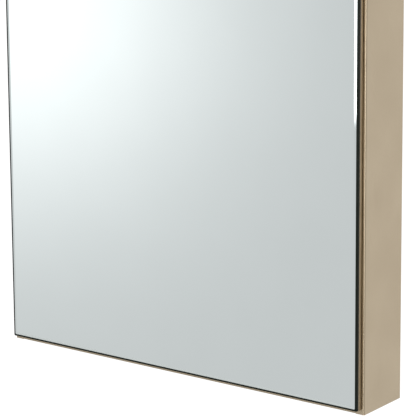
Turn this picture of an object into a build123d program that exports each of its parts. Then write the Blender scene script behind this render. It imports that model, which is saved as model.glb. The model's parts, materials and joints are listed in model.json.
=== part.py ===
from build123d import *
import os

os.makedirs("parts", exist_ok=True)

# Wall cabinet with one mirrored door. Millimetres. X runs left to right seen from the front, Z is up,
# Y points into the wall. The origin is the centre of the back face, which lies on the wall plane.

# ---- driving dimensions ----
CABINET_W = 610.0
CABINET_H = 762.0
BODY_D = 90.0
SHEET = 2.0
BEND_R = 1.5
NOSE_R = 2.5
FLANGE_W = 14.0
LIP = 6.0
RIB = 10.0
BACK_T = 1.5

DOOR_GAP = 3.4
SIDE_REVEAL = 5.0
END_REVEAL = 6.8
GLASS_T = 4.0
GASKET_T = 1.0
FRAME_T = 3.2
FRAME_W = 22.0
FRAME_LIP_W = 1.6
FRAME_LIP_H = 2.4
BEVEL_W = 6.4
BEVEL_DROP = 0.5
EDGE_ROUND = 3.0

HINGE_R = 2.0
HINGE_BORE_R = 1.04
HINGE_PIN_R = 1.0
HINGE_LEAF_T = 0.9
KNUCKLE_PITCH = 30.0
KNUCKLE_COUNT = 24

SHELF_T = 5.0
SLOT_PITCH = 25.0
SHELF_SLOTS = (-8, 0, 8)
CLIP_DROP = 10.3
STANDARD_W = 12.0
STANDARD_T = 3.0

WALL_HOLE_R = 3.25
WALL_SPACING_X = 406.4
WALL_SPACING_Z = 640.0

# ---- derived places ----
SHELF_LEVELS = [n * SLOT_PITCH + CLIP_DROP for n in SHELF_SLOTS]
HALF_W = CABINET_W / 2
HALF_H = CABINET_H / 2
FRONT_Y = -BODY_D
DOOR_BACK_Y = FRONT_Y - DOOR_GAP
DOOR_W = CABINET_W - 2 * SIDE_REVEAL
DOOR_H = CABINET_H - 2 * END_REVEAL
FRAME_FRONT_Y = DOOR_BACK_Y - FRAME_T
GLASS_BACK_Y = FRAME_FRONT_Y - GASKET_T
GLASS_FRONT_Y = GLASS_BACK_Y - GLASS_T
HINGE_X = -DOOR_W / 2 - 2.6
HINGE_Y = FRONT_Y - 2.3
INNER_X = HALF_W - SHEET
INNER_Z = HALF_H - SHEET
RIB_FRONT_Y = -BACK_T - SHEET
FRONT_STANDARD_Y = FRONT_Y + 24.0
REAR_STANDARD_Y = FRONT_Y + 60.0
PORT_YS = (FRONT_Y + 40.0, FRONT_Y + 74.0)
PORT_R = 3.2
PORT_HOLE_R = 1.5
PORT_X = INNER_X - PORT_R
CATCH_SCREW_X = HALF_W - 9.0


def save(part, name):
    """Labels a finished piece and writes its STEP file."""
    part.label = name
    export_step(part, f"parts/{name}.step")


def box_between(x0, x1, y0, y1, z0, z1, mode=Mode.ADD):
    """Adds a box that spans two corners to the active part."""
    with Locations(((x0 + x1) / 2, (y0 + y1) / 2, (z0 + z1) / 2)):
        Box(abs(x1 - x0), abs(y1 - y0), abs(z1 - z0), mode=mode)


def countersunk_screw(plane, head_r, head_h, shank_r, length):
    """A flat-head screw with a cross recess; its head face lies on the plane, its shank goes down the normal."""
    with BuildPart() as screw:
        with BuildSketch(plane):
            Circle(head_r)
        extrude(amount=-head_h, taper=45)
        with BuildSketch(plane):
            Circle(shank_r)
        extrude(amount=-length)
        for turn in (0, 90):
            with BuildSketch(plane.rotated((0, 0, turn))):
                Rectangle(head_r * 1.1, head_r * 0.28)
            extrude(amount=-head_h * 0.6, mode=Mode.SUBTRACT)
    return screw.part


def domed_rivet(plane, head_r, head_h, shank_r, length):
    """A domed rivet; its head stands on the plane and its shank goes down the normal."""
    with BuildPart() as rivet:
        with BuildSketch(plane):
            Circle(head_r)
        extrude(amount=head_h)
        fillet(rivet.edges().filter_by(GeomType.CIRCLE).sort_by(lambda e: plane.to_local_coords(e.center()).Z)[-1],
               head_h * 0.7)
        with BuildSketch(plane):
            Circle(shank_r)
        extrude(amount=-length)
    return rivet.part


def facing(x, y, z, normal):
    """A plane at a point whose normal is the given direction."""
    return Plane(origin=(x, y, z), z_dir=normal)


def front_plane(y):
    """A plane parallel to the front of the cabinet, with its normal towards the room."""
    return Plane(origin=(0, y, 0), x_dir=(1, 0, 0), z_dir=(0, -1, 0))


def group(solids):
    """Joins separate solids into one node."""
    return Compound(children=[s for s in solids])


# ---- side panels: extruded profile, drawn for the right side ----
def side_profile():
    """The right side's section: wall, front flange with lip, two screw ports and the rear rib."""
    with BuildSketch(Plane.XY.offset(-HALF_H)) as profile:
        with BuildLine():
            Polyline(
                (HALF_W, 0),
                (HALF_W, FRONT_Y),
                (HALF_W - FLANGE_W, FRONT_Y),
                (HALF_W - FLANGE_W, FRONT_Y + SHEET + LIP),
                (HALF_W - FLANGE_W + SHEET * 0.8, FRONT_Y + SHEET + LIP),
                (HALF_W - FLANGE_W + SHEET * 0.8, FRONT_Y + SHEET),
                (INNER_X, FRONT_Y + SHEET),
                (INNER_X, RIB_FRONT_Y),
                (INNER_X - RIB, RIB_FRONT_Y),
                (INNER_X - RIB, -BACK_T),
                (INNER_X, -BACK_T),
                (INNER_X, 0),
                close=True,
            )
        make_face()
        front_corner = profile.vertices().sort_by(lambda v: v.Y - v.X)[0]
        fillet(front_corner, NOSE_R)
        inner_corner = profile.vertices().sort_by_distance((INNER_X, FRONT_Y + SHEET, -HALF_H))[0]
        fillet(inner_corner, NOSE_R - SHEET)
        with Locations(*[(PORT_X, y) for y in PORT_YS]):
            Circle(PORT_R)
        with Locations(*[((PORT_X + INNER_X) / 2, y) for y in PORT_YS]):
            Rectangle(PORT_R, PORT_R * 1.4)
        with Locations(*[(PORT_X, y) for y in PORT_YS]):
            Circle(PORT_HOLE_R, mode=Mode.SUBTRACT)
        with Locations(*[(PORT_X - PORT_R / 2, y) for y in PORT_YS]):
            Rectangle(PORT_R, 1.4, mode=Mode.SUBTRACT)
    return profile.sketch


with BuildPart() as right_side_panel:
    add(side_profile())
    extrude(amount=CABINET_H)
    # The ends behind the flange are cut back so that the top and bottom plates seat inside the wall.
    for end in (-1, 1):
        box_between(INNER_X - RIB - 6, INNER_X, FRONT_Y + SHEET, 0, end * INNER_Z, end * (HALF_H + 1), Mode.SUBTRACT)
    catch_screw_zs = [s * (HALF_H - 90) + d for s in (-1, 1) for d in (-15, 15)]
    for z in catch_screw_zs:
        with BuildSketch(facing(CATCH_SCREW_X, FRONT_Y, z, (0, -1, 0))):
            Circle(2.9)
        extrude(amount=-1.45, taper=45, mode=Mode.SUBTRACT)
        with BuildSketch(facing(CATCH_SCREW_X, FRONT_Y, z, (0, -1, 0))):
            Circle(1.55)
        extrude(amount=-SHEET, mode=Mode.SUBTRACT)
save(right_side_panel.part, "right_side_panel")

hinge_rivet_zs = [(i - 5.5) * 2 * KNUCKLE_PITCH for i in range(12)]
with BuildPart() as left_side_panel:
    add(mirror(side_profile(), about=Plane.YZ))
    extrude(amount=CABINET_H)
    for end in (-1, 1):
        box_between(-INNER_X, -INNER_X + RIB + 6, FRONT_Y + SHEET, 0, end * INNER_Z, end * (HALF_H + 1), Mode.SUBTRACT)
    for z in hinge_rivet_zs:
        with BuildSketch(facing(-HALF_W + 10.5, FRONT_Y, z, (0, -1, 0))):
            Circle(1.0)
        extrude(amount=-SHEET, mode=Mode.SUBTRACT)
save(left_side_panel.part, "left_side_panel")


# ---- top and bottom panels ----
def end_panel(side):
    """The top (side = 1) or bottom (side = -1) plate with its front flange, lip and rear rib."""
    z_out = side * HALF_H
    z_in = side * INNER_Z
    z_flange = side * (HALF_H - FLANGE_W)
    z_rib = side * (INNER_Z - RIB)
    seam = HALF_W - FLANGE_W
    port_points = [(s * PORT_X, y) for s in (-1, 1) for y in PORT_YS]
    with BuildPart() as panel:
        box_between(-INNER_X, INNER_X, FRONT_Y + SHEET, 0, z_in, z_out)
        box_between(-seam, seam, FRONT_Y, FRONT_Y + SHEET, z_flange, z_out)
        front_edge = panel.edges().filter_by(Axis.X).sort_by(lambda e: e.center().Y - side * e.center().Z)[0]
        fillet(front_edge, BEND_R)
        box_between(-seam, seam, FRONT_Y + SHEET, FRONT_Y + SHEET + LIP, z_flange, z_flange + side * SHEET * 0.8)
        box_between(-INNER_X + RIB, INNER_X - RIB, RIB_FRONT_Y, -BACK_T, z_rib, z_in)
        box_between(-INNER_X, INNER_X, -BACK_T, 0, z_in, z_out)
        for x, y in port_points:
            with BuildSketch(facing(x, y, z_out, (0, 0, side))):
                Circle(3.0)
            extrude(amount=-1.6, taper=45, mode=Mode.SUBTRACT)
            with BuildSketch(facing(x, y, z_out, (0, 0, side))):
                Circle(1.5)
            extrude(amount=-SHEET, mode=Mode.SUBTRACT)
    return panel.part


save(end_panel(1), "top_panel")
save(end_panel(-1), "bottom_panel")

corner_screws = [
    countersunk_screw(facing(s * PORT_X, y, e * HALF_H, (0, 0, e)), 2.9, 1.5, 1.4, 14)
    for s in (-1, 1)
    for e in (-1, 1)
    for y in PORT_YS
]
save(group(corner_screws), "corner_screws")

# ---- back panel, mounting bars ----
back_side_points = [(s * (INNER_X - RIB / 2), z) for s in (-1, 1) for z in (-300, -150, 0, 150, 300)]
back_end_points = [(x, s * (INNER_Z - RIB / 2)) for s in (-1, 1) for x in (-180, 0, 180)]
back_points = back_side_points + back_end_points
wall_points = [(sx * WALL_SPACING_X / 2, sz * WALL_SPACING_Z / 2) for sx in (-1, 1) for sz in (-1, 1)]
bar_rivet_points = [(sx * x, sz * WALL_SPACING_Z / 2) for sx in (-1, 1) for sz in (-1, 1) for x in (60, 270)]
BACK_SCREW_HEAD_R = 2.4

with BuildPart() as back_panel:
    box_between(-INNER_X, INNER_X, -BACK_T, 0, -INNER_Z, INNER_Z)
    for x, z in wall_points:
        with BuildSketch(facing(x, 0, z, (0, 1, 0))):
            Circle(WALL_HOLE_R)
        extrude(amount=-BACK_T, mode=Mode.SUBTRACT)
    for x, z in back_points:
        with BuildSketch(facing(x, 0, z, (0, 1, 0))):
            Circle(BACK_SCREW_HEAD_R + 0.1)
        extrude(amount=-1.2, taper=45, mode=Mode.SUBTRACT)
        with BuildSketch(facing(x, 0, z, (0, 1, 0))):
            Circle(1.4)
        extrude(amount=-BACK_T, mode=Mode.SUBTRACT)
    for x, z in bar_rivet_points:
        with BuildSketch(facing(x, 0, z, (0, 1, 0))):
            Circle(1.6)
        extrude(amount=-BACK_T, mode=Mode.SUBTRACT)
save(back_panel.part, "back_panel")

save(
    group([countersunk_screw(facing(x, 0, z, (0, 1, 0)), BACK_SCREW_HEAD_R, 1.1, 1.2, BACK_T) for x, z in back_points]),
    "back_panel_screws",
)

for name, side in (("upper_mounting_bar", 1), ("lower_mounting_bar", -1)):
    z_mid = side * WALL_SPACING_Z / 2
    with BuildPart() as bar:
        box_between(-290, 290, RIB_FRONT_Y, -BACK_T, z_mid - 13, z_mid + 13)
        fillet(bar.edges().filter_by(Axis.Y), 4)
        for x in (-270, -WALL_SPACING_X / 2, -60, 60, WALL_SPACING_X / 2, 270):
            hole_r = WALL_HOLE_R if abs(x) == WALL_SPACING_X / 2 else 1.6
            with BuildSketch(facing(x, -BACK_T, z_mid, (0, 1, 0))):
                Circle(hole_r)
            extrude(amount=-SHEET, mode=Mode.SUBTRACT)
    save(bar.part, name)

save(
    group([domed_rivet(facing(x, RIB_FRONT_Y, z, (0, -1, 0)), 3.2, 1.2, 1.55, SHEET + BACK_T)
           for x, z in bar_rivet_points]),
    "mounting_bar_rivets",
)

# ---- shelf standards ----
STANDARD_H = 700.0
SLOT_COUNT = 27
standard_screw_zs = (-STANDARD_H / 2 + 12, STANDARD_H / 2 - 12)


def standard(side, y_mid):
    """A slotted channel strip on the inner face of a side wall; side is 1 on the right."""
    x_wall = side * INNER_X
    x_face = side * (INNER_X - STANDARD_T)
    with BuildPart() as strip:
        box_between(x_wall, x_face, y_mid - STANDARD_W / 2, y_mid + STANDARD_W / 2, -STANDARD_H / 2, STANDARD_H / 2)
        x_skin = x_face + side * 1.0
        box_between(x_wall, x_skin, y_mid - STANDARD_W / 2 + 1, y_mid + STANDARD_W / 2 - 1,
                    -STANDARD_H / 2, STANDARD_H / 2, Mode.SUBTRACT)
        for i in range(SLOT_COUNT):
            z = (i - (SLOT_COUNT - 1) / 2) * SLOT_PITCH
            box_between(x_face, x_skin, y_mid - 3, y_mid + 3, z - 1.6, z + 1.6, Mode.SUBTRACT)
        for z in standard_screw_zs:
            with BuildSketch(facing(x_face, y_mid, z, (-side, 0, 0))):
                Circle(1.5)
            extrude(amount=-STANDARD_T, mode=Mode.SUBTRACT)
    return strip.part


save(standard(-1, FRONT_STANDARD_Y), "left_front_standard")
save(standard(-1, REAR_STANDARD_Y), "left_rear_standard")
save(standard(1, FRONT_STANDARD_Y), "right_front_standard")
save(standard(1, REAR_STANDARD_Y), "right_rear_standard")

save(
    group([domed_rivet(facing(s * (INNER_X - STANDARD_T), y, z, (-s, 0, 0)), 2.4, 0.9, 1.4, STANDARD_T)
           for s in (-1, 1) for y in (FRONT_STANDARD_Y, REAR_STANDARD_Y) for z in standard_screw_zs]),
    "standard_screws",
)

# ---- shelves, clips and pads; a level is the underside of a shelf's pads ----
SHELF_HALF_W = 293.0
SHELF_FRONT_Y = FRONT_Y + 11.0
SHELF_BACK_Y = RIB_FRONT_Y - 4.0
CLIP_T = 1.5
CLIP_REACH = 14.0
PAD_T = 1.0

for name, level in zip(("lower_shelf", "middle_shelf", "upper_shelf"), SHELF_LEVELS):
    with BuildPart() as shelf:
        box_between(-SHELF_HALF_W, SHELF_HALF_W, SHELF_FRONT_Y, SHELF_BACK_Y, level + PAD_T, level + PAD_T + SHELF_T)
        fillet(shelf.edges().filter_by(Axis.Z), 3)
        chamfer(shelf.edges().filter_by(Axis.X), 0.6)
    save(shelf.part, name)


def shelf_clip(side, y_mid, level):
    """A bent clip: a tongue in a slot of the standard, a back plate below it and a support plate."""
    x_face = side * (INNER_X - STANDARD_T)
    x_tip = x_face - side * CLIP_REACH
    with BuildPart() as clip:
        box_between(x_face, x_tip, y_mid - 5, y_mid + 5, level - CLIP_T, level)
        box_between(x_face, x_face - side * CLIP_T, y_mid - 5, y_mid + 5, level - 12, level)
        box_between(x_face + side * 0.9, x_face, y_mid - 2.5, y_mid + 2.5,
                    level - CLIP_DROP - 0.7, level - CLIP_DROP + 0.7)
    return clip.part


clip_places = [(s, y, z) for z in SHELF_LEVELS for s in (-1, 1) for y in (FRONT_STANDARD_Y, REAR_STANDARD_Y)]
save(group([shelf_clip(*place) for place in clip_places]), "shelf_clips")


def shelf_pad(side, y_mid, level):
    """A clear pad between a clip and the glass."""
    with BuildPart() as pad:
        with BuildSketch(Plane.XY.offset(level)):
            with Locations((side * (INNER_X - STANDARD_T - CLIP_REACH + 4.5), y_mid)):
                Circle(3.5)
        extrude(amount=PAD_T)
    return pad.part


save(group([shelf_pad(*place) for place in clip_places]), "shelf_pads")

# ---- magnetic catches on the right front flange ----
CATCH_NOSE_X0 = HALF_W - 28.0
CATCH_NOSE_X1 = HALF_W - 14.4
CATCH_NOSE_XM = (CATCH_NOSE_X0 + CATCH_NOSE_X1) / 2
CATCH_FRONT_Y = FRONT_Y - 1.2
CATCH_BACK_Y = FRONT_Y + 17.0
POLE_FRONT_Y = FRONT_Y - 1.7
catch_zs = (-(HALF_H - 90), HALF_H - 90)


def catch_housing(z_mid):
    """The plastic body: a nose beside the flange lip, a bridge behind it and two screw ears on the flange."""
    with BuildPart() as housing:
        box_between(CATCH_NOSE_X0, CATCH_NOSE_X1, CATCH_FRONT_Y, CATCH_BACK_Y, z_mid - 22, z_mid + 22)
        fillet(housing.edges().filter_by(Axis.Y), 2)
        box_between(CATCH_NOSE_X1 - 3, INNER_X - 0.4, FRONT_Y + SHEET + LIP + 0.4, CATCH_BACK_Y, z_mid - 22, z_mid + 22)
        box_between(HALF_W - 12.0, HALF_W - 4.6, FRONT_Y + SHEET, CATCH_BACK_Y, z_mid - 22, z_mid + 22)
        box_between(CATCH_NOSE_XM - 4.4, CATCH_NOSE_XM + 4.4, CATCH_FRONT_Y, FRONT_Y + 12, z_mid - 17, z_mid + 17,
                    Mode.SUBTRACT)
        for dz in (-15, 15):
            with BuildSketch(facing(CATCH_SCREW_X, FRONT_Y + SHEET, z_mid + dz, (0, -1, 0))):
                Circle(1.5)
            extrude(amount=-10, mode=Mode.SUBTRACT)
    return housing.part


save(catch_housing(catch_zs[1]), "upper_catch_housing")
save(catch_housing(catch_zs[0]), "lower_catch_housing")


def block(x0, x1, y0, y1, z0, z1, radius=0.0):
    """A separate box-shaped piece, with its Y edges rounded when a radius is given."""
    with BuildPart() as piece:
        box_between(x0, x1, y0, y1, z0, z1)
        if radius:
            fillet(piece.edges().filter_by(Axis.Y), radius)
    return piece.part


save(
    group([block(CATCH_NOSE_XM - 3.0, CATCH_NOSE_XM + 3.0, FRONT_Y + 1, FRONT_Y + 12, z - 16, z + 16)
           for z in catch_zs]),
    "catch_magnets",
)
save(
    group([block(CATCH_NOSE_XM + s * 3.0, CATCH_NOSE_XM + s * 4.3, POLE_FRONT_Y, FRONT_Y + 12, z - 16, z + 16)
           for z in catch_zs for s in (-1, 1)]),
    "catch_pole_plates",
)
save(
    group([countersunk_screw(facing(CATCH_SCREW_X, FRONT_Y, z, (0, -1, 0)), 2.8, 1.35, 1.4, 10)
           for z in catch_screw_zs]),
    "catch_screws",
)

# ---- soft stops on the body's front face ----
BUMPER_R = 2.3
BUMPER_T = 2.6
BUMPER_X = HALF_W - FLANGE_W + BUMPER_R + 0.2
bumper_zs = (-340, -120, 120, 340)


def bumper(z):
    """A soft dome stuck on the right flange."""
    with BuildPart() as dome:
        with BuildSketch(facing(BUMPER_X, FRONT_Y, z, (0, -1, 0))):
            Circle(BUMPER_R)
        extrude(amount=BUMPER_T)
        fillet(dome.faces().sort_by(Axis.Y)[0].edges(), 1.2)
    return dome.part


save(group([bumper(z) for z in bumper_zs]), "door_bumpers")

# ---- continuous hinge: knuckles shared in turn by the two leaves ----
KNUCKLE_SLACK = 0.3
LEAF_HALF_H = KNUCKLE_COUNT * KNUCKLE_PITCH / 2


def knuckle_zs(turn):
    """The spans of the knuckles that belong to the body leaf (turn 0) or the door leaf (turn 1)."""
    spans = []
    for i in range(turn, KNUCKLE_COUNT, 2):
        low = -LEAF_HALF_H + i * KNUCKLE_PITCH
        spans.append((low + KNUCKLE_SLACK / 2, low + KNUCKLE_PITCH - KNUCKLE_SLACK / 2))
    return spans


def hinge_leaf(turn, arm_x, plate_x0, plate_x1, y0, y1, rivet_x, rivet_zs):
    """One leaf: a plate with arms into its own knuckles, bored for the pin and drilled for rivets."""
    with BuildPart() as leaf:
        box_between(plate_x0, plate_x1, y0, y1, -LEAF_HALF_H, LEAF_HALF_H)
        for z0, z1 in knuckle_zs(turn):
            box_between(arm_x, plate_x0, y0, y1, z0, z1)
            with BuildSketch(Plane.XY.offset(z0)):
                with Locations((HINGE_X, HINGE_Y)):
                    Circle(HINGE_R)
            extrude(amount=z1 - z0)
        with BuildSketch(Plane.XY.offset(-LEAF_HALF_H)):
            with Locations((HINGE_X, HINGE_Y)):
                Circle(HINGE_BORE_R)
        extrude(amount=2 * LEAF_HALF_H, mode=Mode.SUBTRACT)
        for z in rivet_zs:
            with BuildSketch(facing(rivet_x, y1, z, (0, 1, 0))):
                Circle(1.0)
            extrude(amount=-HINGE_LEAF_T, mode=Mode.SUBTRACT)
    return leaf.part


BODY_RIVET_X = -HALF_W + 10.5
DOOR_RIVET_X = -DOOR_W / 2 + 11.0
door_rivet_zs = [z + KNUCKLE_PITCH for z in hinge_rivet_zs[:-1]]

save(
    hinge_leaf(0, HINGE_X - 0.4, HINGE_X + 2.4, -HALF_W + FLANGE_W, FRONT_Y - HINGE_LEAF_T, FRONT_Y,
               BODY_RIVET_X, hinge_rivet_zs),
    "hinge_body_leaf",
)
save(
    hinge_leaf(1, HINGE_X + 1.3, HINGE_X + 2.5, -DOOR_W / 2 + 16, DOOR_BACK_Y, DOOR_BACK_Y + HINGE_LEAF_T,
               DOOR_RIVET_X, door_rivet_zs),
    "hinge_door_leaf",
)

with BuildPart() as hinge_pin:
    with BuildSketch(Plane.XY.offset(-LEAF_HALF_H)):
        with Locations((HINGE_X, HINGE_Y)):
            Circle(HINGE_PIN_R)
    extrude(amount=2 * LEAF_HALF_H)
    chamfer(hinge_pin.edges().filter_by(GeomType.CIRCLE), 0.2)
save(hinge_pin.part, "hinge_pin")

save(
    group([domed_rivet(facing(BODY_RIVET_X, FRONT_Y - HINGE_LEAF_T, z, (0, -1, 0)), 2.0, 0.6, 0.95, HINGE_LEAF_T + SHEET)
           for z in hinge_rivet_zs]),
    "hinge_body_rivets",
)
RIVET_DEPTH = 2.4
save(
    group([domed_rivet(facing(DOOR_RIVET_X, DOOR_BACK_Y + HINGE_LEAF_T, z, (0, 1, 0)), 2.0, 0.6, 0.95,
                       HINGE_LEAF_T + RIVET_DEPTH) for z in door_rivet_zs]),
    "hinge_door_rivets",
)

# ---- door: bevelled mirror, gasket, mitred frame with hidden keys, inner mirror ----
DOOR_HALF_W = DOOR_W / 2
DOOR_HALF_H = DOOR_H / 2
BEVEL_FACE_Y = GLASS_FRONT_Y + BEVEL_DROP

with BuildPart() as mirror_glass:
    box_between(-DOOR_HALF_W, DOOR_HALF_W, BEVEL_FACE_Y + EDGE_ROUND, GLASS_BACK_Y, -DOOR_HALF_H, DOOR_HALF_H)
    for y_rear, inset_rear, y_front, inset_front in (
        (BEVEL_FACE_Y + EDGE_ROUND, 0, BEVEL_FACE_Y, EDGE_ROUND),
        (BEVEL_FACE_Y, EDGE_ROUND, GLASS_FRONT_Y, BEVEL_W),
    ):
        with BuildSketch(front_plane(y_rear)):
            Rectangle(DOOR_W - 2 * inset_rear, DOOR_H - 2 * inset_rear)
        with BuildSketch(front_plane(y_front)):
            Rectangle(DOOR_W - 2 * inset_front, DOOR_H - 2 * inset_front)
        loft()
save(mirror_glass.part, "mirror_glass")

GASKET_W = 12.0
with BuildPart() as mirror_gasket:
    with BuildSketch(front_plane(FRAME_FRONT_Y)):
        Rectangle(DOOR_W - 0.6, DOOR_H - 0.6)
        Rectangle(DOOR_W - 2 * GASKET_W, DOOR_H - 2 * GASKET_W, mode=Mode.SUBTRACT)
    extrude(amount=GASKET_T)
save(mirror_gasket.part, "mirror_gasket")

KEY_CHANNEL_W = 12.0
KEY_CHANNEL_T = 1.3
KEY_T = 1.2
KEY_LEG = 48.0
FRAME_MID_Y = (DOOR_BACK_Y + FRAME_FRONT_Y) / 2
KEY_LINE = FRAME_W / 2


def frame_member(half_long, half_short, angle, lip_h):
    """A mitred bar along one edge of the door, with a channel for the corner keys; angle picks the edge.
    A thin flange of height lip_h on its outer edge closes most of the gap to the body."""
    with BuildPart() as bar:
        for width, depth in ((FRAME_W, FRAME_T), (FRAME_LIP_W, -lip_h)):
            if depth:
                with BuildSketch(front_plane(DOOR_BACK_Y)):
                    with BuildLine():
                        Polyline(
                            (-half_long, -half_short),
                            (half_long, -half_short),
                            (half_long - width, -half_short + width),
                            (-half_long + width, -half_short + width),
                            close=True,
                        )
                    make_face()
                extrude(amount=depth)
        z_line = -half_short + KEY_LINE
        box_between(-half_long, half_long, FRAME_MID_Y - KEY_CHANNEL_T / 2, FRAME_MID_Y + KEY_CHANNEL_T / 2,
                    z_line - KEY_CHANNEL_W / 2, z_line + KEY_CHANNEL_W / 2, Mode.SUBTRACT)
    return bar.part.rotate(Axis.Y, angle)


def drilled(part, points, radius, depth, y_face):
    """Drills holes along Y into a piece, from its back face towards the front."""
    with BuildPart() as result:
        add(part)
        for x, z in points:
            with BuildSketch(facing(x, y_face, z, (0, 1, 0))):
                Circle(radius)
            extrude(amount=-depth, mode=Mode.SUBTRACT)
    return result.part


key_screw_offsets = [(-KEY_LINE - 26, -KEY_LINE), (-KEY_LINE, -KEY_LINE - 26)]
key_screw_points = [
    (sx * (DOOR_HALF_W + dx), sz * (DOOR_HALF_H + dz)) for sx in (-1, 1) for sz in (-1, 1) for dx, dz in key_screw_offsets
]
strike_zs = catch_zs
strike_screw_points = [(CATCH_NOSE_XM, z + d) for z in strike_zs for d in (-12, 12)]
door_rivet_points = [(DOOR_RIVET_X, z) for z in door_rivet_zs]
KEY_SCREW_R = 1.5
KEY_SCREW_DEPTH = (FRAME_T - KEY_CHANNEL_T) / 2

upright_points = [p for p in key_screw_points if abs(p[0]) > DOOR_HALF_W - FRAME_W]
rail_points = [p for p in key_screw_points if abs(p[0]) <= DOOR_HALF_W - FRAME_W]
right_stile = frame_member(DOOR_HALF_H, DOOR_HALF_W, -90, FRAME_LIP_H)
left_stile = frame_member(DOOR_HALF_H, DOOR_HALF_W, 90, 0)
bottom_rail = frame_member(DOOR_HALF_W, DOOR_HALF_H, 0, FRAME_LIP_H)
top_rail = frame_member(DOOR_HALF_W, DOOR_HALF_H, 180, FRAME_LIP_H)

right_stile = drilled(right_stile, [p for p in upright_points if p[0] > 0], KEY_SCREW_R, KEY_SCREW_DEPTH, DOOR_BACK_Y)
right_stile = drilled(right_stile, strike_screw_points, 1.1, RIVET_DEPTH, DOOR_BACK_Y)
left_stile = drilled(left_stile, [p for p in upright_points if p[0] < 0], KEY_SCREW_R, KEY_SCREW_DEPTH, DOOR_BACK_Y)
left_stile = drilled(left_stile, door_rivet_points, 1.0, RIVET_DEPTH, DOOR_BACK_Y)
top_rail = drilled(top_rail, [p for p in rail_points if p[1] > 0], KEY_SCREW_R, KEY_SCREW_DEPTH, DOOR_BACK_Y)
bottom_rail = drilled(bottom_rail, [p for p in rail_points if p[1] < 0], KEY_SCREW_R, KEY_SCREW_DEPTH, DOOR_BACK_Y)
save(right_stile, "door_right_stile")
save(left_stile, "door_left_stile")
save(top_rail, "door_top_rail")
save(bottom_rail, "door_bottom_rail")


def corner_key(sx, sz):
    """A flat L that slides in the channels of two mitred members."""
    x_mid = sx * (DOOR_HALF_W - KEY_LINE)
    z_mid = sz * (DOOR_HALF_H - KEY_LINE)
    half = KEY_CHANNEL_W / 2 - 0.1
    with BuildPart() as key:
        box_between(x_mid + sx * half, x_mid - sx * KEY_LEG, FRAME_MID_Y - KEY_T / 2, FRAME_MID_Y + KEY_T / 2,
                    z_mid - half, z_mid + half)
        box_between(x_mid - half, x_mid + half, FRAME_MID_Y - KEY_T / 2, FRAME_MID_Y + KEY_T / 2,
                    z_mid + sz * half, z_mid - sz * KEY_LEG)
    return key.part


save(group([corner_key(sx, sz) for sx in (-1, 1) for sz in (-1, 1)]), "corner_keys")


def plug(x, y, z, radius, length):
    """A short grub screw along Y, from y towards the front."""
    with BuildPart() as screw:
        with BuildSketch(facing(x, y, z, (0, 1, 0))):
            Circle(radius)
        extrude(amount=-length)
        with BuildSketch(facing(x, y, z, (0, 1, 0))):
            RegularPolygon(radius * 0.5, 6)
        extrude(amount=-length / 2, mode=Mode.SUBTRACT)
    return screw.part


save(
    group([plug(x, DOOR_BACK_Y - 0.1, z, KEY_SCREW_R - 0.05, KEY_SCREW_DEPTH - 0.1) for x, z in key_screw_points]),
    "corner_key_screws",
)

INNER_MIRROR_T = 3.0
PANE_CLEARANCE = 1.0
pane_half_w = DOOR_HALF_W - FRAME_W - PANE_CLEARANCE
pane_half_h = DOOR_HALF_H - FRAME_W - PANE_CLEARANCE
inner_mirror_back_y = DOOR_BACK_Y - 0.4
with BuildPart() as inner_mirror:
    box_between(-pane_half_w, pane_half_w, inner_mirror_back_y - INNER_MIRROR_T, inner_mirror_back_y,
                -pane_half_h, pane_half_h)
    chamfer(inner_mirror.faces().sort_by(Axis.Y)[-1].edges(), 0.5)
save(inner_mirror.part, "inner_mirror")

pad_xs = [i * 110 for i in (-2, -1, 0, 1, 2)]
pad_back_y = inner_mirror_back_y - INNER_MIRROR_T
save(
    group([block(x - 10, x + 10, GLASS_BACK_Y, pad_back_y, -pane_half_h + 30, pane_half_h - 30) for x in pad_xs]),
    "bonding_pads",
)

with BuildPart() as strike:
    box_between(-5.5, 5.5, 0, 1, -19, 19)
    fillet(strike.edges().filter_by(Axis.Y), 1.5)
    for z in (-12, 12):
        with BuildSketch(facing(0, 1, z, (0, 1, 0))):
            Circle(2.0)
        extrude(amount=-0.9, taper=45, mode=Mode.SUBTRACT)
        with BuildSketch(facing(0, 1, z, (0, 1, 0))):
            Circle(1.1)
        extrude(amount=-1, mode=Mode.SUBTRACT)
save(group([strike.part.moved(Location((CATCH_NOSE_XM, DOOR_BACK_Y, z))) for z in strike_zs]), "strike_plates")
save(
    group([countersunk_screw(facing(x, DOOR_BACK_Y + 1, z, (0, 1, 0)), 1.9, 0.8, 1.0, 3.2) for x, z in strike_screw_points]),
    "strike_screws",
)
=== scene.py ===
import json
import math

import bpy
from mathutils import Matrix, Vector


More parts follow.
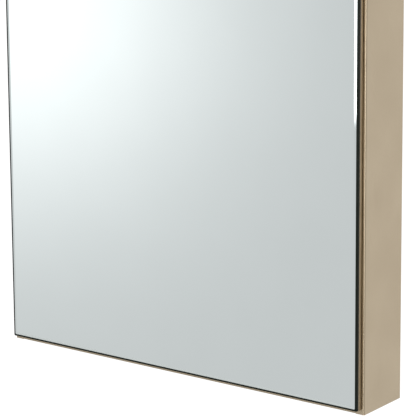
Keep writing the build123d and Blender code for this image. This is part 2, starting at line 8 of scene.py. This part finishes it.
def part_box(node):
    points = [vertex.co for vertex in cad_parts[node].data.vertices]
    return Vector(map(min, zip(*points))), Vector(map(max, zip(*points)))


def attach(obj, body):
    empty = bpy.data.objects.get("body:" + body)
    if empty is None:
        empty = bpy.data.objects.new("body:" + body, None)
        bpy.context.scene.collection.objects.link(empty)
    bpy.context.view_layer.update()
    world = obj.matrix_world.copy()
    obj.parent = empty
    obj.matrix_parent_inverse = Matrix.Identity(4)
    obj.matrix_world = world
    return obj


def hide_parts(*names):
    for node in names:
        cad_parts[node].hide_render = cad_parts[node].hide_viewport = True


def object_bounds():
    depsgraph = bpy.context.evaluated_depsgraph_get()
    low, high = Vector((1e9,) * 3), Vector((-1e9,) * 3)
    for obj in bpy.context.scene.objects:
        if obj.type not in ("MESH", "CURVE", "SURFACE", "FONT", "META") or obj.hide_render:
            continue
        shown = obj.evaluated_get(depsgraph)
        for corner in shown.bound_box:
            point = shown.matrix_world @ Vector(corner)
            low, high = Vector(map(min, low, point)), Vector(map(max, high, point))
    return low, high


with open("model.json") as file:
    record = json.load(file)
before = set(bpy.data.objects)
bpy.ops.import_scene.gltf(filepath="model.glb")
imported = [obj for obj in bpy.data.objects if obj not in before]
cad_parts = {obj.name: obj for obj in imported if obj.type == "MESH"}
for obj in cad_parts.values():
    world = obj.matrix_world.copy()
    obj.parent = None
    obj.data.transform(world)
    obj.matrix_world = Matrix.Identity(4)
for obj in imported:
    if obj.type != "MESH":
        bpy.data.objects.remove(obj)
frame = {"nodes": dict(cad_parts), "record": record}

MM = 0.001
cad_low, cad_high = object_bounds()

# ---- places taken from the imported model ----
body_low = Vector(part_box("right_side_panel")[0])
body_high = Vector(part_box("right_side_panel")[1])
front_corner = Vector((body_high.x, body_low.y, body_low.z))  # front, bottom, right corner of the body
glass_low = Vector(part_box("mirror_glass")[0])
glass_high = Vector(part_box("mirror_glass")[1])


# ---- camera: front right and a little above, about 4 m away with a long lens ----
CAMERA_OFFSET = Vector((2097.7, -3229.2, 1343.1)) * MM  # from the front, bottom, right corner of the body
CAMERA_YAW, CAMERA_PITCH, CAMERA_ROLL = 36.125, 15.274, -0.437  # degrees
LENS, SENSOR_WIDTH = 259.62, 36.0  # mm
CLIP_NEAR, CLIP_FAR = 0.05, 100.0


def make_camera():
    """Looks left and slightly down at the lower right part of the cabinet, with a slight tilt."""
    yaw, pitch, roll = math.radians(CAMERA_YAW), math.radians(CAMERA_PITCH), math.radians(CAMERA_ROLL)
    forward = Vector(
        (-math.sin(yaw) * math.cos(pitch), math.cos(yaw) * math.cos(pitch), -math.sin(pitch))
    )
    level = Vector((math.cos(yaw), math.sin(yaw), 0.0))
    upward = level.cross(forward)
    right = level * math.cos(roll) + upward * math.sin(roll)
    up = upward * math.cos(roll) - level * math.sin(roll)
    data = bpy.data.cameras.new("camera")
    data.lens = LENS
    data.sensor_width = SENSOR_WIDTH
    data.clip_start, data.clip_end = CLIP_NEAR, CLIP_FAR
    camera = bpy.data.objects.new("camera", data)
    camera.matrix_world = Matrix.Translation(front_corner + CAMERA_OFFSET) @ Matrix(
        (
            (right.x, up.x, -forward.x, 0),
            (right.y, up.y, -forward.y, 0),
            (right.z, up.z, -forward.z, 0),
            (0, 0, 0, 1),
        )
    )
    bpy.context.scene.collection.objects.link(camera)
    bpy.context.scene.camera = camera


make_camera()

# ---- light: a white studio, pale grey in front, with a round glow and a soft box there ----
# A pair is where a blend starts and ends, along one axis of the unit direction looked along.
GLOW_YAW, GLOW_PITCH = math.radians(40.03), math.radians(-11.25)
GLOW_WIDTH = 0.00247  # one minus the cosine of the angle at which the glow has fallen to 1/e
GLOW_GAIN = 0.68
FRONT_LEVEL, BACK_LEVEL = 0.67, 1.1
LEVEL_BLEND = (-0.15, 0.25)
BOX_GAIN = 4.0
BOX_FRONT = (-0.3, -0.1)
BOX_LEFT, BOX_RIGHT = (-0.42, -0.36), (0.45, 0.60)
BOX_LOW, BOX_HIGH = (-0.238, -0.228), (-0.13, -0.07)


def math_node(tree, operation, a, b=None):
    """A math node whose inputs are sockets or numbers."""
    node = tree.nodes.new("ShaderNodeMath")
    node.operation = operation
    for socket, value in zip(node.inputs, (a, b)):
        if value is None:
            continue
        if isinstance(value, (int, float)):
            socket.default_value = value
        else:
            tree.links.new(value, socket)
    return node.outputs[0]


def map_range(tree, value, from_min, from_max, to_min, to_max):
    """A clamped range map, eased at both ends."""
    node = tree.nodes.new("ShaderNodeMapRange")
    node.interpolation_type = "SMOOTHSTEP"
    tree.links.new(value, node.inputs["Value"])
    node.inputs["From Min"].default_value = from_min
    node.inputs["From Max"].default_value = from_max
    node.inputs["To Min"].default_value = to_min
    node.inputs["To Max"].default_value = to_max
    return node.outputs["Result"]


def make_world():
    """White behind the cabinet and pale grey in front, where the glow is the mirror's gradient."""
    world = bpy.data.worlds.new("studio")
    bpy.context.scene.world = world
    world.use_nodes = True
    tree = world.node_tree
    tree.nodes.clear()
    output = tree.nodes.new("ShaderNodeOutputWorld")
    background = tree.nodes.new("ShaderNodeBackground")
    background.inputs["Color"].default_value = (1, 1, 1, 1)
    coordinates = tree.nodes.new("ShaderNodeTexCoord")
    direction = coordinates.outputs["Generated"]
    split = tree.nodes.new("ShaderNodeSeparateXYZ")
    tree.links.new(direction, split.inputs[0])
    level = map_range(tree, split.outputs["Y"], *LEVEL_BLEND, FRONT_LEVEL, BACK_LEVEL)
    dot = tree.nodes.new("ShaderNodeVectorMath")
    dot.operation = "DOT_PRODUCT"
    tree.links.new(direction, dot.inputs[0])
    dot.inputs[1].default_value = (
        -math.sin(GLOW_YAW) * math.cos(GLOW_PITCH),
        -math.cos(GLOW_YAW) * math.cos(GLOW_PITCH),
        math.sin(GLOW_PITCH),
    )
    away = math_node(tree, "SUBTRACT", 1.0, dot.outputs["Value"])
    glow = math_node(tree, "EXPONENT", math_node(tree, "MULTIPLY", away, -1.0 / GLOW_WIDTH))
    total = math_node(tree, "ADD", level, math_node(tree, "MULTIPLY", glow, GLOW_GAIN))
    box = map_range(tree, split.outputs["Y"], *BOX_FRONT, BOX_GAIN, 0.0)
    for axis, edge, low, high in (
        ("X", BOX_LEFT, 0, 1), ("X", BOX_RIGHT, 1, 0), ("Z", BOX_LOW, 0, 1), ("Z", BOX_HIGH, 1, 0)
    ):
        box = math_node(tree, "MULTIPLY", box, map_range(tree, split.outputs[axis], *edge, low, high))
    total = math_node(tree, "ADD", total, box)
    tree.links.new(total, background.inputs["Strength"])
    tree.links.new(background.outputs[0], output.inputs[0])


make_world()
bpy.context.scene.view_settings.view_transform = "Standard"


# ---- materials: noise scales are per metre, in object space ----
NOISE_RANGE = (0.3, 0.7)  # the part of a noise's values that is stretched to full range
CLOUD_SCALE, CLOUD_SHARE = 14.0, 0.7
GRAIN_SCALE, GRAIN_SHARE = 900.0, 0.3
HAZE_SCALE, HAZE_RANGE, HAZE_DARKENING = 9.0, (0.35, 0.65), 0.99
MIRROR_ROUGHNESS = (0.006, 0.016)
GLASS_WAVE_SCALE, GLASS_ROUGHENING, GLASS_IOR = 40.0, 1.6, 1.5


def new_material(name):
    """An empty node material and its main shader."""
    material = bpy.data.materials.new(name)
    material.use_nodes = True
    shader = material.node_tree.nodes["Principled BSDF"]
    return material, material.node_tree, shader


def object_noise(tree, scale, detail=3.0, stretch=(1, 1, 1)):
    """Noise in object space, stretched per axis."""
    coordinates = tree.nodes.new("ShaderNodeTexCoord")
    mapping = tree.nodes.new("ShaderNodeMapping")
    mapping.inputs["Scale"].default_value = stretch
    noise = tree.nodes.new("ShaderNodeTexNoise")
    noise.inputs["Scale"].default_value = scale
    noise.inputs["Detail"].default_value = detail
    tree.links.new(coordinates.outputs["Object"], mapping.inputs["Vector"])
    tree.links.new(mapping.outputs["Vector"], noise.inputs["Vector"])
    return noise.outputs["Fac"]


def colour_mix(tree, factor, dark, light):
    """Mixes two colours by a factor."""
    node = tree.nodes.new("ShaderNodeMix")
    node.data_type = "RGBA"
    tree.links.new(factor, node.inputs["Factor"])
    node.inputs["A"].default_value = (*dark, 1)
    node.inputs["B"].default_value = (*light, 1)
    return node.outputs["Result"]


def bump(tree, shader, height, strength, distance):
    """Feeds a height to the shader's normal."""
    node = tree.nodes.new("ShaderNodeBump")
    node.inputs["Strength"].default_value = strength
    node.inputs["Distance"].default_value = distance
    tree.links.new(height, node.inputs["Height"])
    tree.links.new(node.outputs["Normal"], shader.inputs["Normal"])


def satin_metal(name, dark, light, roughness, grain=(1, 1, 30)):
    """Fine-grained satin metal: broad cloudiness, short grain and slight roughness changes."""
    material, tree, shader = new_material(name)
    shader.inputs["Metallic"].default_value = 1.0
    cloud = object_noise(tree, CLOUD_SCALE, 4.0)
    fine = object_noise(tree, GRAIN_SCALE, 2.0, grain)
    broad = math_node(tree, "MULTIPLY", cloud, CLOUD_SHARE)
    short = math_node(tree, "MULTIPLY", fine, GRAIN_SHARE)
    factor = map_range(tree, math_node(tree, "ADD", broad, short), *NOISE_RANGE, 0, 1)
    uneven = map_range(tree, fine, *NOISE_RANGE, roughness - 0.04, roughness + 0.05)
    tree.links.new(colour_mix(tree, factor, dark, light), shader.inputs["Base Color"])
    tree.links.new(uneven, shader.inputs["Roughness"])
    bump(tree, shader, fine, 0.08, 0.00005)
    return material


def mirror_material(name, colour):
    """Silvered glass with a faint haze."""
    material, tree, shader = new_material(name)
    shader.inputs["Metallic"].default_value = 1.0
    haze = object_noise(tree, HAZE_SCALE, 2.0)
    dark = tuple(HAZE_DARKENING * part for part in colour)
    factor = map_range(tree, haze, *HAZE_RANGE, 0, 1)
    tree.links.new(colour_mix(tree, factor, dark, colour), shader.inputs["Base Color"])
    tree.links.new(map_range(tree, haze, *NOISE_RANGE, *MIRROR_ROUGHNESS), shader.inputs["Roughness"])
    return material


satin = satin_metal(
    "satin_champagne_metal", (0.394, 0.322, 0.226), (0.432, 0.357, 0.254), 0.28, (30, 30, 1)
)
interior = satin_metal("interior_metal", (0.45, 0.445, 0.43), (0.48, 0.475, 0.46), 0.38)
bright = satin_metal("bright_steel", (0.42, 0.415, 0.40), (0.50, 0.495, 0.475), 0.32)
mirror = mirror_material("mirror", (0.80, 0.856, 0.856))


def plain(name, dark, light, roughness, noise_scale=200.0):
    """A moulded or painted finish with slight mottling."""
    material, tree, shader = new_material(name)
    noise = object_noise(tree, noise_scale, 3.0)
    tree.links.new(colour_mix(tree, noise, dark, light), shader.inputs["Base Color"])
    uneven = map_range(tree, noise, *NOISE_RANGE, roughness - 0.05, roughness + 0.05)
    tree.links.new(uneven, shader.inputs["Roughness"])
    bump(tree, shader, noise, 0.15, 0.0001)
    return material


# Painted shade: the polished glass edge is coloured almost black and given little specular, so it shows
# as a dark line round the mirror.
painted_shade_glass_edge = plain("painted_shade_glass_edge", (0.010, 0.013, 0.010), (0.020, 0.024, 0.019), 0.16, 60.0)
painted_shade_glass_edge.node_tree.nodes["Principled BSDF"].inputs["Specular IOR Level"].default_value = 0.04
back_paint = plain("mirror_back_paint", (0.16, 0.17, 0.18), (0.20, 0.21, 0.22), 0.6, 150.0)
gasket = plain("black_gasket", (0.010, 0.010, 0.008), (0.020, 0.020, 0.017), 0.5)
catch_plastic = plain("catch_plastic", (0.76, 0.75, 0.72), (0.82, 0.81, 0.78), 0.45)
magnet = plain("magnet", (0.03, 0.03, 0.03), (0.06, 0.06, 0.06), 0.6)
foam = plain("foam_tape", (0.72, 0.72, 0.70), (0.80, 0.80, 0.78), 0.9, 900.0)

SLOT_MATERIALS = {
    "satin_champagne_metal": satin,
    "interior_metal": interior,
    "bright_steel": bright,
    "mirror": mirror,
    "black_gasket": gasket,
    "catch_plastic": catch_plastic,
    "magnet": magnet,
    "foam_tape": foam,
}


def glass_material(name, colour, roughness):
    """Clear glass or plastic with a faintly uneven surface."""
    material, tree, shader = new_material(name)
    shader.inputs["Base Color"].default_value = (*colour, 1)
    shader.inputs["Transmission Weight"].default_value = 1.0
    shader.inputs["IOR"].default_value = GLASS_IOR
    waves = object_noise(tree, GLASS_WAVE_SCALE, 2.0)
    uneven = map_range(tree, waves, *NOISE_RANGE, roughness, GLASS_ROUGHENING * roughness)
    tree.links.new(uneven, shader.inputs["Roughness"])
    bump(tree, shader, waves, 0.05, 0.0001)
    return material


SLOT_MATERIALS["shelf_glass"] = glass_material("shelf_glass", (0.86, 0.95, 0.92), 0.02)
SLOT_MATERIALS["clear_pad"] = glass_material("clear_pad", (0.92, 0.92, 0.90), 0.25)

for subpart in frame["record"]["subparts"]:
    node = frame["nodes"][subpart["node"]]
    material = SLOT_MATERIALS[subpart["material_slot"]]
    if not node.material_slots:
        node.data.materials.append(material)
    for material_slot in node.material_slots:
        material_slot.material = material


# ---- the door mirror: flat silvered face, ground bevel, round polished edge coloured almost black as painted shade, and painted back ----
BEVEL_RUN, BEVEL_FALL = 6.4 * MM, 0.5 * MM
EDGE_RUN, EDGE_DEPTH = 3.2 * MM, 1.4 * MM
EDGE_STEPS = 8
PLAN_ROUND, FACE_ROUND = 1.5 * MM, 0.4 * MM  # corner radius of the outline and of the flat face
BACK_CHAMFER = 0.4 * MM
SILVERED, EDGE, PAINTED = 0, 1, 2  # material numbers on the mirror's mesh


def rounded_loop(low, high, inset, radius, steps=6):
    """Points round a rectangle in X and Z, set in from its outline, with rounded corners."""
    x0, x1, z0, z1 = low.x + inset, high.x - inset, low.z + inset, high.z - inset
    corners = (((x1, z0), -90), ((x1, z1), 0), ((x0, z1), 90), ((x0, z0), 180))
    points = []
    for (x, z), start in corners:
        x_mid = x - math.copysign(radius, x - (x0 + x1) / 2)
        z_mid = z - math.copysign(radius, z - (z0 + z1) / 2)
        for i in range(steps + 1):
            angle = math.radians(start + 90 * i / steps)
            points.append((x_mid + radius * math.cos(angle), z_mid + radius * math.sin(angle)))
    return points


def ring_solid(name, rings, band_materials, materials):
    """A closed mesh through rings of (points, y), front to back, with a material number per band."""
    vertices, faces, numbers = [], [], []
    for points, y in rings:
        vertices.extend((x, y, z) for x, z in points)
    count = len(rings[0][0])
    faces.append(list(range(count)))
    numbers.append(band_materials[0])
    for band in range(len(rings) - 1):
        for i in range(count):
            j = (i + 1) % count
            first, second = band * count, (band + 1) * count
            faces.append([first + i, second + i, second + j, first + j])
            numbers.append(band_materials[band + 1])
    last = (len(rings) - 1) * count
    faces.append([last + i for i in reversed(range(count))])
    numbers.append(band_materials[-1])
    mesh = bpy.data.meshes.new(name)
    mesh.from_pydata(vertices, [], faces)
    for material in materials:
        mesh.materials.append(material)
    for polygon, number in zip(mesh.polygons, numbers):
        polygon.material_index = number
        polygon.use_smooth = number == EDGE
    mesh.update()
    item = bpy.data.objects.new(name, mesh)
    bpy.context.scene.collection.objects.link(item)
    return item


def make_door_mirror():
    """Builds the mirror in the place of its plain piece."""
    low, high = glass_low, glass_high
    rings = [(rounded_loop(low, high, BEVEL_RUN, FACE_ROUND), low.y)]
    for i in range(EDGE_STEPS + 1):
        angle = math.pi / 2 * i / EDGE_STEPS
        inset = EDGE_RUN * (1 - math.sin(angle))
        depth = BEVEL_FALL + EDGE_DEPTH * (1 - math.cos(angle))
        rings.append((rounded_loop(low, high, inset, PLAN_ROUND), low.y + depth))
    rings.append((rounded_loop(low, high, 0.0, PLAN_ROUND), high.y - BACK_CHAMFER))
    rings.append((rounded_loop(low, high, BACK_CHAMFER, PLAN_ROUND), high.y))
    bands = [SILVERED] * 2 + [EDGE] * (EDGE_STEPS + 2) + [PAINTED]
    item = ring_solid("mirror_glass_detail", rings, bands, (mirror, painted_shade_glass_edge, back_paint))
    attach(item, "door")
    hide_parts("mirror_glass")


make_door_mirror()


# ---- stage: a pale floor well below the wall cabinet ----
FLOOR_DROP, FLOOR_RADIUS, FLOOR_SIDES = 1.15, 2.6, 96


def make_floor():
    """A pale round floor at the height of a bathroom floor."""
    centre = (Vector(cad_low) + Vector(cad_high)) / 2
    points = []
    for i in range(FLOOR_SIDES):
        angle = 2 * math.pi * i / FLOOR_SIDES
        x = centre.x + FLOOR_RADIUS * math.cos(angle)
        y = centre.y + FLOOR_RADIUS * math.sin(angle)
        points.append((x, y, 0))
    mesh = bpy.data.meshes.new("floor")
    mesh.from_pydata(points, [], [list(range(FLOOR_SIDES))])
    floor = bpy.data.objects.new("floor", mesh)
    floor.location.z = cad_low[2] - FLOOR_DROP
    bpy.context.scene.collection.objects.link(floor)
    floor.data.materials.append(plain("floor", (0.78, 0.78, 0.77), (0.82, 0.82, 0.81), 0.8, 3.0))


make_floor()
